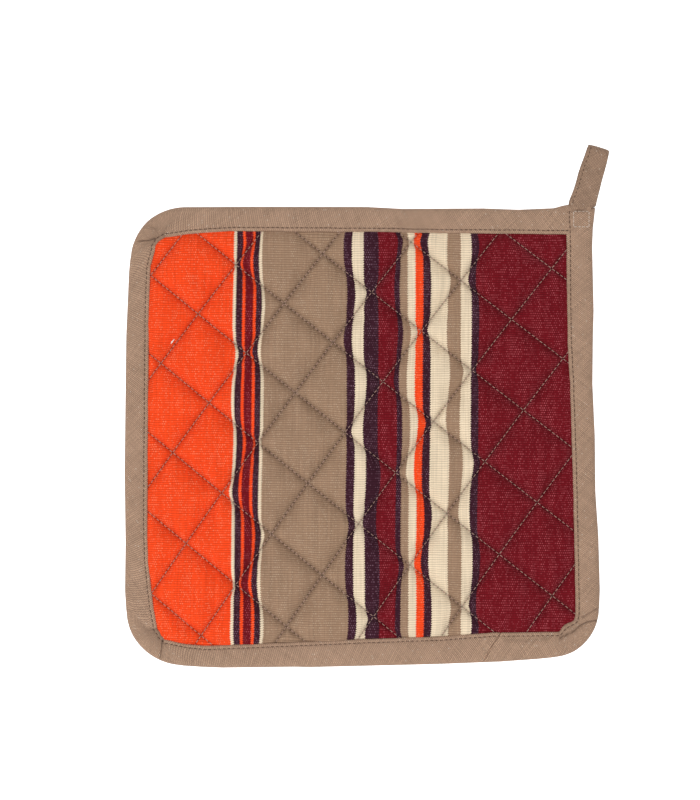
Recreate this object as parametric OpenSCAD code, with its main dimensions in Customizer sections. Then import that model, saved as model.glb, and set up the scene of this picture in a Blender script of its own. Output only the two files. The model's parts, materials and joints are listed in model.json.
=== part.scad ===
// Quilted square pot holder with a bias binding and a corner hanging loop.
// The pad lies flat: +Z comes up out of the striped face, +Y points to the top edge and the loop.
// The origin is the middle of the pad, on the surface that it rests on.

/* [Pad] */
// Width of the pad, halfway up
pad_w = 200; // [150:1:240]
// Height of the pad, halfway across
pad_h = 193; // [150:1:232]
// Thickness of the pad over its puffs
pad_t = 7.8; // [6.4:0.1:12]
// How far the right edge spreads outwards from top to bottom
right_flare = 3.6; // [0:0.1:6]
// How far the left edge spreads outwards from top to bottom
left_flare = 0.6; // [0:0.1:6]
// How far the top edge drops from left to right
top_drop = 0.6; // [0:0.1:6]
// How far the bottom edge rises from left to right
bottom_rise = 4.9; // [0:0.1:8]

/* [Corners] */
// Outer corner radius, top left
r_top_left = 25.5; // [15:0.5:35]
// Outer corner radius, bottom left
r_bottom_left = 25.5; // [15:0.5:35]
// Outer corner radius, bottom right
r_bottom_right = 21.3; // [15:0.1:35]
// Outer corner radius at the loop, top right
r_top_right = 1; // [0.4:0.1:3]
// How much tighter than its outer edge the binding turns, top left
tuck_top_left = 9; // [0:0.1:9.5]
// How much tighter than its outer edge the binding turns, bottom left
tuck_bottom_left = 9; // [0:0.1:9.5]
// How much tighter than its outer edge the binding turns, bottom right
tuck_bottom_right = 2.5; // [0:0.1:8]

/* [Cloth] */
// Thickness of each cotton cover
cover_t = 0.8; // [0.5:0.1:1.1]
// Thickness of the pad along its quilting stitches
stitch_line_t = 3.8; // [3.4:0.1:4.4]
// Thickness of the pressed margin inside the binding
margin_t = 3.2; // [2.8:0.1:3.4]

/* [Quilting] */
// Distance between the stitch lines that fall to the right
fall_step = 26.8; // [26:0.1:40]
// Slope of the falling lines, in degrees below level
fall_angle = 38.6; // [30:0.1:60]
// Distance of the middle falling line from the centre
fall_shift = -3; // [-12:0.1:12]
// Distance between the stitch lines that rise to the right
rise_step = 27.3; // [26:0.1:40]
// Slope of the rising lines, in degrees above level
rise_angle = 53.5; // [30:0.1:60]
// Distance of the middle rising line from the centre
rise_shift = -4.9; // [-12:0.1:12]
// Width across the top of a quilted valley in the face
valley_w = 9; // [4:0.5:12]
// Width across a valley underneath, where the puffs are pressed flat by what they rest on
under_valley_w = 5; // [3:0.5:12]
// Width of the flat bed that the stitches lie on
valley_bed = 1.4; // [1.2:0.1:2]

/* [Thread] */
// Width of a sewing thread's run of stitches
thread_w = 0.5; // [0.4:0.05:0.6]
// Height of a sewing thread's run of stitches
thread_h = 0.3; // [0.2:0.05:0.4]

/* [Binding] */
// Finished width of the binding on each face
bind_w = 9.8; // [8:0.1:12]
// Thickness of the folded binding tape
bind_t = 0.8; // [0.5:0.1:1.1]
// Distance from the binding's inner edge to its topstitching
lip = 1.1; // [0.8:0.1:1.6]
// Where the binding's two lengths join along the bottom edge, from the centre
join_x = 52.5; // [10:0.5:60]
// Slope of that join, in degrees above level
join_angle = 59; // [45:1:80]

/* [Hanging loop] */
// Height of the loop above the pad's top edge
loop_rise = 27.2; // [24:0.1:40]
// Width of the loop's strap
strap_w = 10.2; // [8:0.1:13]
// Thickness of one run of the strap
strap_t = 1.4; // [1:0.1:1.5]
// How far the loop leans to the right, in degrees
loop_lean = 16.9; // [0:0.1:25]
// Distance from the pad's edge to the line that the loop flexes about
root_reach = 3.2; // [3.2:0.1:4]
// Distance from that line to where the eye is fully open
eye_start = 11; // [9:0.1:13]
// Gap between the strap's root and the stub it flexes against
root_gap = 0.5; // [0.4:0.05:0.6]
// Thickness of the loop's sewn-down end, on the back
tail_t = 0.8; // [0.5:0.1:1.1]
// Gap between the box stitch and the topstitching beside it
box_gap = 0.5; // [0.3:0.05:0.8]
// Gap between the box stitch and the pad's edges
box_edge = 1.4; // [0.8:0.1:2]

/* [Hidden] */
// Points along each rounded corner
arc_steps = 10;
// Facets round each fully round shape
round_steps = 64;
// The most stitch lines that are looked for on each side of the middle one
most_lines = 20;
// How far a cutting shape runs past what it cuts
cut = 1;
// A length that reaches past the whole pad
far = 400;
// Heights counted from the middle of the pad's thickness
mid_z = pad_t / 2;
margin_top = margin_t / 2;
bind_top = margin_top + bind_t;
// Depths of the two families of valleys: the rising threads cross over the falling ones
fall_depth = (pad_t - stitch_line_t) / 2;
rise_depth = fall_depth - thread_h;
// A stitch line that would be shorter than about this is left out
end_room = 4;
// The loop is as thick as the pad, so that its stitching lies on the same surface
loop_t = pad_t - 2 * thread_h;
// Distances along the strap from where it flexes
eye_point = 3;
stitch_start = 4;
eye_end = loop_rise - root_reach - loop_t / 2;
// Half the height of the eye, and the radius of the strap's root
eye_h = loop_t / 2 - strap_t;
root_r = strap_t;
// How far up the pad the line of the binding's join is drawn
join_reach = pad_h / 4;
// The box stitch's distance in from the pad's edges, and its size
box_low = bind_w - lip - thread_w / 2 - box_gap;
box_size = box_low - box_edge;

// The pad's corners, counter-clockwise from the bottom right
CORNERS = [
    [pad_w / 2 + right_flare / 2, -pad_h / 2 + bottom_rise / 2],
    [pad_w / 2 - right_flare / 2, pad_h / 2 - top_drop / 2],
    [-pad_w / 2 + left_flare / 2, pad_h / 2 + top_drop / 2],
    [-pad_w / 2 - left_flare / 2, -pad_h / 2 - bottom_rise / 2]
];
OUTER_R = [r_bottom_right, r_top_right, r_top_left, r_bottom_left];
TUCK = [tuck_bottom_right, 0, tuck_top_left, tuck_bottom_left];
loop_corner = CORNERS[1];
strip_x = loop_corner.x - bind_w;
// The line that the loop flexes about lies along X at this place
root_x = strip_x + strap_w / 2;
root_y = loop_corner.y + root_reach;

function unit(v) = v / norm(v);
// The radius of corner i after its edges move in by d
function corner_r(i, d) = max(0.4, OUTER_R[i] - d - TUCK[i] * min(1, d / bind_w));
// The corner where the two edges beside corner i meet after moving in by d
function inset_corner(i, d) =
    let (p = CORNERS[i],
         u = unit(CORNERS[(i + 3) % 4] - p),
         v = unit(CORNERS[(i + 1) % 4] - p))
    p + (u + v) * d / abs(u.x * v.y - u.y * v.x);
function edge_angle(i) =
    let (e = CORNERS[(i + 1) % 4] - CORNERS[i])
    atan2(e.y, e.x);
function turn(i) = (edge_angle(i) - edge_angle((i + 3) % 4) + 720) % 360;
// The centre of the arc at corner i
function arc_centre(i, d) = inset_corner(i, d + corner_r(i, d));
// The pad's outline with its edges moved in by d
function outline(d) = [
    for (i = [0:3], k = [0:arc_steps])
        let (a = edge_angle((i + 3) % 4) - 90 + turn(i) * k / arc_steps)
        arc_centre(i, d) + corner_r(i, d) * [cos(a), sin(a)]
];

// How far the panel inside the binding reaches along the direction n
function reach(n) = max([for (i = [0:3]) arc_centre(i, bind_w) * n + corner_r(i, bind_w)]);
function across_fall() = [sin(fall_angle), cos(fall_angle)];
function across_rise() = [sin(rise_angle), -cos(rise_angle)];
// The offsets of a family of stitch lines that cross the panel
function line_offsets(n, step, shift) = [
    for (i = [-most_lines:most_lines])
        let (s = shift + i * step)
        if (s < reach(n) - end_room && s > end_room - reach(-n)) s
];
FALL_LINES = line_offsets(across_fall(), fall_step, fall_shift);
RISE_LINES = line_offsets(across_rise(), rise_step, rise_shift);
fall_last = len(FALL_LINES) - 1;
rise_last = len(RISE_LINES) - 1;

function thread_name(kind, i) = str(kind, "_", i + 1);

// A slab of the pad's outline, moved in by d, between two heights from mid thickness
module slab(d, low, high)
    translate([0, 0, mid_z + low])
        linear_extrude(high - low)
            polygon(outline(d));

// Lays its children along a stitch line: X across the line, Y along it
module along_fall(offset_s)
    rotate(-fall_angle - 90)
        translate([-offset_s, 0, mid_z])
            children();

module along_rise(offset_s)
    rotate(rise_angle - 90)
        translate([offset_s, 0, mid_z])
            children();

// One valley of width w pressed in by a row of stitches, lowered by the cloth over it
module valley(depth, drop, w)
    translate([0, far / 2, pad_t / 2 - depth - drop])
        rotate([90, 0, 0])
            linear_extrude(far)
                polygon([
                    [-valley_bed / 2, 0],
                    [valley_bed / 2, 0],
                    [w / 2, depth],
                    [w / 2, depth + drop + cut],
                    [-w / 2, depth + drop + cut],
                    [-w / 2, depth]
                ]);

module valleys(drop, w) {
    for (s = FALL_LINES)
        along_fall(s) valley(fall_depth, drop, w);
    for (s = RISE_LINES)
        along_rise(s) valley(rise_depth, drop, w);
}

// Half of the quilted pad, with valleys of width w, and with t of cloth taken off it
module half_pad(w, t, margin_inset)
    union() {
        difference() {
            slab(bind_w + t, 0, pad_t / 2 - t);
            valleys(t, w);
        }
        slab(margin_inset, 0, margin_top - t);
    }

module to_back()
    translate([0, 0, 2 * mid_z])
        mirror([0, 0, 1])
            children();

module front_cover()
    color("#f04a26")
        cover(valley_w);

module back_cover()
    color("#e6ceb0")
        to_back() cover(under_valley_w);

module cover(w)
    difference() {
        half_pad(w, 0, bind_t);
        translate([0, 0, -cut])
            slab(0, 0, margin_top - cover_t + cut);
        half_pad(w, cover_t, 0);
    }

module wadding()
    color("#f4f1e8")
        union() {
            half_pad(valley_w, cover_t, bind_t);
            to_back() half_pad(under_valley_w, cover_t, bind_t);
        }

// The folded tape that wraps the pad's edge, all the way round
module binding_ring()
    difference() {
        slab(0, -bind_top, bind_top);
        slab(bind_w, -bind_top - cut, bind_top + cut);
        slab(bind_t, -margin_top, margin_top);
    }

// The stretch of the edge that the shorter length of binding covers
module short_stretch()
    linear_extrude(far, center = true)
        polygon([
            [join_x, -pad_h / 2],
            [join_x - far * cos(join_angle), -pad_h / 2 - far * sin(join_angle)],
            [far, -far],
            [far, far],
            [strip_x, far],
            [strip_x, 0],
            [join_x + join_reach / tan(join_angle), join_reach - pad_h / 2]
        ]);

module binding_long()
    color("#a68873")
        difference() {
            binding_ring();
            short_stretch();
        }

module binding_short()
    color("#a9896f")
        union() {
            intersection() {
                binding_ring();
                short_stretch();
            }
            root_stub();
        }

module at_root()
    translate([0, root_y, mid_z])
        rotate([90, 0, 90])
            children();

// The strip that carries on past the corner, up to where the loop flexes
module root_stub()
    difference() {
        translate([strip_x, loop_corner.y - bind_t / 2, mid_z - bind_t / 2])
            cube([bind_w - r_top_right, root_reach + bind_t / 2, bind_t]);
        at_root()
            cylinder(r = root_r + root_gap, h = far, center = true, $fn = round_steps);
    }

// The loop seen from its side, grown outwards by g: X is along the strap
module loop_side(g) {
    circle(r = root_r + g, $fn = round_steps);
    polygon([
        [0, -root_r - g],
        [eye_start, -loop_t / 2 - g],
        [eye_end, -loop_t / 2 - g],
        [eye_end, loop_t / 2 + g],
        [eye_start, loop_t / 2 + g],
        [0, root_r + g]
    ]);
    translate([eye_end, 0])
        circle(r = loop_t / 2 + g, $fn = round_steps);
}

module eye_side() {
    polygon([
        [eye_point, 0],
        [eye_start, -eye_h],
        [eye_end, -eye_h],
        [eye_end, eye_h],
        [eye_start, eye_h]
    ]);
    translate([eye_end, 0])
        circle(r = eye_h, $fn = round_steps);
}

// A leaning strip seen from above, from low to high along the strap
module lean_strip(left, right, low, high)
    translate([root_x, root_y, 0])
        rotate(-loop_lean)
            translate([left, low, -far / 2])
                cube([right - left, high - low, far]);

module hanging_loop()
    color("#9d8068")
        intersection() {
            at_root()
                linear_extrude(far, center = true)
                    difference() {
                        loop_side(0);
                        eye_side();
                    }
            lean_strip(-strap_w / 2, strap_w / 2, -strap_w, far);
        }

module loop_edge_stitch()
    color("#6e5848")
        intersection() {
            at_root()
                linear_extrude(far, center = true)
                    difference() {
                        loop_side(thread_h);
                        loop_side(0);
                    }
            lean_strip(lip - strap_w / 2, lip + thread_w - strap_w / 2, stitch_start, far);
        }

// The run of topstitching, on one face of the binding
module topstitch_run()
    translate([0, 0, mid_z + bind_top])
        linear_extrude(thread_h) {
            difference() {
                polygon(outline(bind_w - lip - thread_w / 2));
                polygon(outline(bind_w - lip + thread_w / 2));
            }
            translate([strip_x + lip - thread_w / 2, loop_corner.y - bind_w + lip])
                square([thread_w, bind_w - lip - box_edge / 2]);
        }

module topstitch_front()
    color("#6b5646")
        topstitch_run();

module topstitch_back()
    color("#6b5646")
        to_back() topstitch_run();

// The end of the loop's strap, folded under and sewn down on the back of the corner
module loop_tail()
    color("#a08570")
        difference() {
            translate([strip_x, loop_corner.y - bind_w, mid_z - bind_top - tail_t])
                cube([bind_w - r_top_right, bind_w - r_top_right, tail_t]);
            topstitch_back();
        }

module box_stitch(z)
    translate([loop_corner.x - box_low, loop_corner.y - box_low, z])
        linear_extrude(thread_h)
            difference() {
                square(box_size);
                translate([thread_w, thread_w])
                    square(box_size - 2 * thread_w);
            }

module box_stitch_front()
    color("#cdbba8")
        box_stitch(mid_z + bind_top);

module box_stitch_back()
    color("#cdbba8")
        box_stitch(mid_z - bind_top - tail_t - thread_h);

// One thread's run along the bed of its valley, as far as the binding
module thread_run(depth)
    translate([-thread_w / 2, -far / 2, pad_t / 2 - depth])
        cube([thread_w, far, thread_h]);

module falling_thread(s)
    color("#b39b86")
        intersection() {
            along_fall(s) thread_run(fall_depth);
            slab(bind_w, -pad_t, pad_t);
        }

module rising_thread(s)
    color("#b39b86")
        intersection() {
            along_rise(s) thread_run(rise_depth);
            slab(bind_w, -pad_t, pad_t);
        }

front_cover();
wadding();
back_cover();
binding_long();
binding_short();
hanging_loop();
loop_tail();
loop_edge_stitch();
topstitch_front();
topstitch_back();
box_stitch_front();
box_stitch_back();
for (i = [0:fall_last]) {
    falling_thread(FALL_LINES[i]);
    to_back() falling_thread(FALL_LINES[i]);
}
for (i = [0:rise_last]) {
    rising_thread(RISE_LINES[i]);
    to_back() rising_thread(RISE_LINES[i]);
}
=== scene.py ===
import json
import math

import bmesh
import bpy
import numpy as np
from bpy.props import FloatProperty, FloatVectorProperty, IntProperty, PointerProperty
from mathutils import Matrix, Vector, noise
from mathutils.bvhtree import BVHTree


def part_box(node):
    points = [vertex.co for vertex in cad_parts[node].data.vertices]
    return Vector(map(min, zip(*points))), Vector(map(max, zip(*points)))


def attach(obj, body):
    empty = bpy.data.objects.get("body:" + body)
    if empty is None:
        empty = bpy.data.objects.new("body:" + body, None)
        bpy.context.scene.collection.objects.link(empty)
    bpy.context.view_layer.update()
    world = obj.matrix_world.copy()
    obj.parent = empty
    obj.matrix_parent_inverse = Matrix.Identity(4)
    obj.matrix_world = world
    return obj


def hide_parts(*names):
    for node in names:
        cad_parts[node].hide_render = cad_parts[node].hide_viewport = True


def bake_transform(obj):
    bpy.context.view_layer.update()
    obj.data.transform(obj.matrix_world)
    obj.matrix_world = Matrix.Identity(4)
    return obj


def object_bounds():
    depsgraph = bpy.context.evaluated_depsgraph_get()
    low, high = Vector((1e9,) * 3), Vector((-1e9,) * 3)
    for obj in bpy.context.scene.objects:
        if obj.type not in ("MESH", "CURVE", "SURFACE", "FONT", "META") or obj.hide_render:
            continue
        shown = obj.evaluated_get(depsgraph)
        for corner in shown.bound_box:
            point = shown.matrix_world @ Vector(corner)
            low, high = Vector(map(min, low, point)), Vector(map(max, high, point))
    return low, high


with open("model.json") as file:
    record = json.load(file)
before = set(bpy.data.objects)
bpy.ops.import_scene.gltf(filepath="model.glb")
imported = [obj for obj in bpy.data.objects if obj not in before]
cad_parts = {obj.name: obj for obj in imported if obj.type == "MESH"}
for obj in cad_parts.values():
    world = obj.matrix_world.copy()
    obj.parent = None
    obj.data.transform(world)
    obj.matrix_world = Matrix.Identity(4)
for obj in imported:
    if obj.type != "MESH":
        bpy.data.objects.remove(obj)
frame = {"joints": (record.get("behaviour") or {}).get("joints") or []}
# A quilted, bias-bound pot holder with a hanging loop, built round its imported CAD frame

bl_info = {
    "name": "Quilted Pot Holder",
    "version": (1, 0, 0),
    "blender": (4, 5, 0),
    "location": "View3D > Sidebar > Pot Holder",
    "description": "Covers, wadding, bias binding, hanging loop and every row of stitches of a pot holder",
    "category": "Add Mesh",
}

CAD_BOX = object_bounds()
MM = 0.001
# Heights that the frame gives: the top of the puffs, of the binding and of the thread on it
PUFF_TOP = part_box("front_cover")[1].z
TAPE_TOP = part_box("binding_long")[1].z
MID = PUFF_TOP / 2
LINE_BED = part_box("needle_thread_fall_5")[0].z
TIP_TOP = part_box("hanging_loop")[1].z
# How far below the binding's top the covers lie where it presses them
PRESSED = 0.8 * MM
# Quilted diamonds from the middle to each side of the cloth before it is cut, and the number
# of the last stitch line on each side of the middle one
STEPS = 6
LAST_LINE = 4


# ------ settings

def size(name, description, default, **more):
    return FloatProperty(name=name, description=description, default=default, unit="LENGTH", **more)


def linear(red, green, blue):
    """A colour for the shaders, from its everyday 0 to 255 values."""
    parts = [v / 255 for v in (red, green, blue)]
    return tuple(v / 12.92 if v <= 0.04045 else ((v + 0.055) / 1.055) ** 2.4 for v in parts)


def paint(name, description, red, green, blue):
    """A colour setting."""
    return FloatVectorProperty(name=name, description=description, default=linear(red, green, blue), size=3,
                               min=0, max=1, subtype="COLOR")


def angle(name, description, degrees):
    return FloatProperty(name=name, description=description, default=math.radians(degrees),
                         subtype="ANGLE", unit="ROTATION")


class PadSettings(bpy.types.PropertyGroup):
    """The pad's outline, its binding and where its cloth was cut"""
    width: size("Width", "Width of the pad, halfway up", 200 * MM)
    height: size("Height", "Height of the pad, halfway across", 193 * MM)
    right_flare: size("Right flare", "How far the right edge spreads from top to bottom", 3.6 * MM)
    left_flare: size("Left flare", "How far the left edge spreads from top to bottom", 0.6 * MM)
    top_drop: size("Top drop", "How far the top edge drops from left to right", 0.6 * MM)
    bottom_rise: size("Bottom rise", "How far the bottom edge rises from left to right", 4.9 * MM)
    top_left: size("Top left radius", "Outer corner radius", 25.5 * MM)
    bottom_left: size("Bottom left radius", "Outer corner radius", 25.5 * MM)
    bottom_right: size("Bottom right radius", "Outer corner radius", 21.3 * MM)
    tuck_top_left: size("Top left tuck", "How much tighter the binding turns inside", 9 * MM)
    tuck_bottom_left: size("Bottom left tuck", "How much tighter the binding turns inside", 9 * MM)
    tuck_bottom_right: size("Bottom right tuck", "How much tighter the binding turns inside", 2.5 * MM)
    tape_width: size("Binding width", "Finished width of the binding on each face", 9.8 * MM)
    tape_thickness: size("Tape thickness", "Thickness of the binding's cloth", 0.4 * MM)
    raw_edge: size("Raw edge", "How far inside the binding's edge the covers were cut", 1.5 * MM)
    join: size("Join", "Where the binding's two lengths meet along the bottom edge", 52.5 * MM)


class QuiltSettings(bpy.types.PropertyGroup):
    """The rows of stitches, and the cloth that they hold"""
    fall_step: size("Falling step", "Distance between the stitch lines that fall to the right", 26.8 * MM)
    rise_step: size("Rising step", "Distance between the stitch lines that rise to the right", 27.3 * MM)
    fall_shift: size("Falling shift", "Distance of the middle falling line from the centre", -3 * MM)
    rise_shift: size("Rising shift", "Distance of the middle rising line from the centre", -4.9 * MM)
    fall_angle: angle("Falling angle", "Slope of the falling lines, below level", 38.6)
    rise_angle: angle("Rising angle", "Slope of the rising lines, above level", 53.5)
    fineness: IntProperty(name="Fineness", description="Faces across one quilted diamond", default=14,
                          min=6, max=24)
    stitches: IntProperty(name="Stitches", description="Stitches along one side of a diamond", default=13,
                          min=6, max=20)
    cloth: size("Cloth thickness", "Thickness of each cotton cover", 0.5 * MM)
    take_up: size("Take-up", "How far a row of stitches steps the stripes to one side", 1.15 * MM)
    swell_cap: size("Swell cap", "The furthest that the cloth may move while it swells", 1.2 * MM)


class StripeSettings(bpy.types.PropertyGroup):
    """The striped cloth's colours and its rib"""
    orange: paint("Orange", "Widest stripe, on the left", 243, 73, 29)
    taupe: paint("Taupe", "Middle ground", 157, 127, 103)
    maroon: paint("Maroon", "Ground on the right", 110, 16, 26)
    aubergine: paint("Aubergine", "Dark edging stripes", 58, 26, 38)
    cream: paint("Cream", "Light stripes", 230, 210, 181)
    rib: FloatProperty(name="Rib", description="Distance between two ribs of the weave, in millimetres",
                       default=0.93, min=0.4, max=2)


class TapeSettings(bpy.types.PropertyGroup):
    """The bias tape, the loop made of it, the threads and the wadding"""
    tape: paint("Tape", "Bias binding and loop", 167, 137, 115)
    thread: paint("Quilting thread", "Thread of the quilting lines", 194, 158, 143)
    edge_thread: paint("Edge thread", "Thread of the topstitching", 100, 76, 62)
    pale_thread: paint("Pale thread", "Thread of the box stitch", 226, 210, 194)
    wadding: paint("Wadding", "Cotton wadding", 240, 236, 226)
    yarn: FloatProperty(name="Yarn", description="Distance between two yarns of the tape, in millimetres",
                        default=0.6, min=0.3, max=1.5)
    strap: size("Strap width", "Width of the hanging loop's strap", 10.2 * MM)
    strap_thickness: size("Strap thickness", "Thickness of the folded strap", 1.2 * MM)
    lean: angle("Lean", "How far the loop leans to the right", 16.9)


class StageSettings(bpy.types.PropertyGroup):
    """The camera and the light"""
    view_width: size("View", "Length of the picture's long side at the pad", 340 * MM)
    aim_x: size("Aim across", "Where the camera looks, to the right of the pad's middle", -4.7 * MM)
    aim_y: size("Aim up", "Where the camera looks, above the pad's middle", 14.7 * MM)
    lens: FloatProperty(name="Lens", description="Focal length", default=100, min=20, max=300,
                        subtype="DISTANCE_CAMERA", unit="CAMERA")
    key: FloatProperty(name="Key light", description="Power of the soft light from the lower left",
                       default=7, min=0, unit="POWER")
    sky: FloatProperty(name="Sky", description="Brightness of the light from all round",
                       default=0.885, min=0)


SETTINGS = {"ph_pad": PadSettings, "ph_quilt": QuiltSettings, "ph_stripes": StripeSettings,
            "ph_tape": TapeSettings, "ph_stage": StageSettings}


# ------ small helpers

def smooth_step(value):
    value = np.clip(value, 0, 1)
    return value * value * (3 - 2 * value)


def unit(vector):
    return vector / np.linalg.norm(vector)


def laid_grid(columns, rows, place, layers):
    """A grid whose vertices, numbered from one corner, are moved to place(column, row).
    The place is followed by one value for each of the named layers."""
    bm = bmesh.new()
    bmesh.ops.create_grid(bm, x_segments=columns, y_segments=rows, size=1)
    kept = [bm.verts.layers.float_vector.new(name) for name in layers]
    for vert in bm.verts:
        column = round((vert.co.x + 1) / 2 * columns)
        row = round((vert.co.y + 1) / 2 * rows)
        vert.co, *values = place(column, row)
        for layer, value in zip(kept, values):
            vert[layer] = value
    return bm


def add_piece(name, bm, material):
    """Makes an object of the mesh, with smooth shading and its material."""
    mesh = bpy.data.meshes.new(name)
    bm.to_mesh(mesh)
    bm.free()
    mesh.shade_smooth()
    mesh.materials.append(material)
    piece = bpy.data.objects.new(name, mesh)
    bpy.context.scene.collection.objects.link(piece)
    return piece


def thicken(piece, thickness):
    wall = piece.modifiers.new("thickness", "SOLIDIFY")
    wall.thickness = thickness
    wall.offset = -1
    wall.use_even_offset = False


def stand_in(node):
    """The piece shows in place of the frame's node, which this hides."""
    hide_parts(node)


def on_pad(piece, node):
    """A stand-in that goes wherever the pad goes."""
    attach(piece, "pad")
    stand_in(node)


def surface_of(name):
    """That piece's finished surface, for finding heights on it."""
    return BVHTree.FromObject(bpy.data.objects[name], bpy.context.evaluated_depsgraph_get())


def height_on(surface, x, y, fallback, up):
    """How high the surface lies there, seen from above (up is 1) or from below (up is -1)."""
    hit = surface.ray_cast(Vector((x, y, up)), Vector((0, 0, -up)))[0]
    return hit.z if hit else fallback


def blunt(value, power):
    """The value raised to a power below 1, with its sign kept."""
    return math.copysign(abs(value) ** power, value)


def gap_to_line(line, x, y):
    """The distance from a place to a bent line, in millimetres as the line's points are."""
    point = np.array((x, y)) / MM
    gaps = []
    for a, b in zip(line, line[1:]):
        a, b = np.array(a), np.array(b)
        share = np.clip((point - a) @ (b - a) / ((b - a) @ (b - a)), 0, 1)
        gaps.append(np.linalg.norm(point - a - share * (b - a)))
    return min(gaps)


def bell(gap, width):
    """1 at no gap, falling away softly over the width."""
    return np.exp(-(gap / width) ** 2)


# ------ the pad's edge

# How the hand-guided binding strays: millimetres round the edge from the loop's corner,
# then how many millimetres in its inner edge lies, or out its outer edge
STRAY_INNER = ((0, 0.9), (18, 0.9), (40, 0.7), (62, 0.7), (84, 0.2), (146, 0), (156, 0.7), (164, 1.4),
               (171, 2.7), (184, 3.3), (202, 3.0), (214, 2.1), (220, 0.1), (235, -0.5), (284, -0.8),
               (319, -0.9), (332, -0.4), (342, 0.8), (349, 1.8), (356, 3.3), (376, 3.9), (393, 2.3),
               (399, 0.9), (405, -0.9), (412, -1.8), (422, -1.7), (473, -0.7), (506, -0.3), (527, 0.8),
               (556, 0.4), (561, 1.8), (565, 2.2), (570, 1.7), (576, 0.2), (596, 0), (640, 0.1),
               (664, 0.4), (682, 0.7), (700, 1.3), (720, 1.2), (740, 0.9), (755, 1.2))
STRAY_OUTER = ((0, 1.8), (8, 1.7), (12, 0.9), (16, -0.2), (31, -0.9), (46, -0.4), (80, -0.7), (96, 0.1),
               (146, 0), (172, -0.2), (190, -0.2), (200, -1.3), (209, -1.9), (216, -1.3), (228, -0.8),
               (242, -0.2), (300, 0.3), (330, -0.2), (350, 0), (359, -0.6), (370, 0), (394, -0.4),
               (404, 0.5), (412, 1.0), (443, 1.4), (450, 1.7), (504, 1.7), (531, 1.3), (546, 0.6),
               (554, 0), (562, 0.2), (584, -0.4), (592, 0.1), (615, -0.1), (634, -1.0), (658, -0.8),
               (680, -1.4), (700, -0.8), (711, -0.3), (738, -0.4), (746, 0), (755, 1.2))
LEAST_RADIUS = 0.4 * MM
# How far round from the loop's corner the binding's two lengths can pass one another there
CORNER_REACH = 40 * MM


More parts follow.
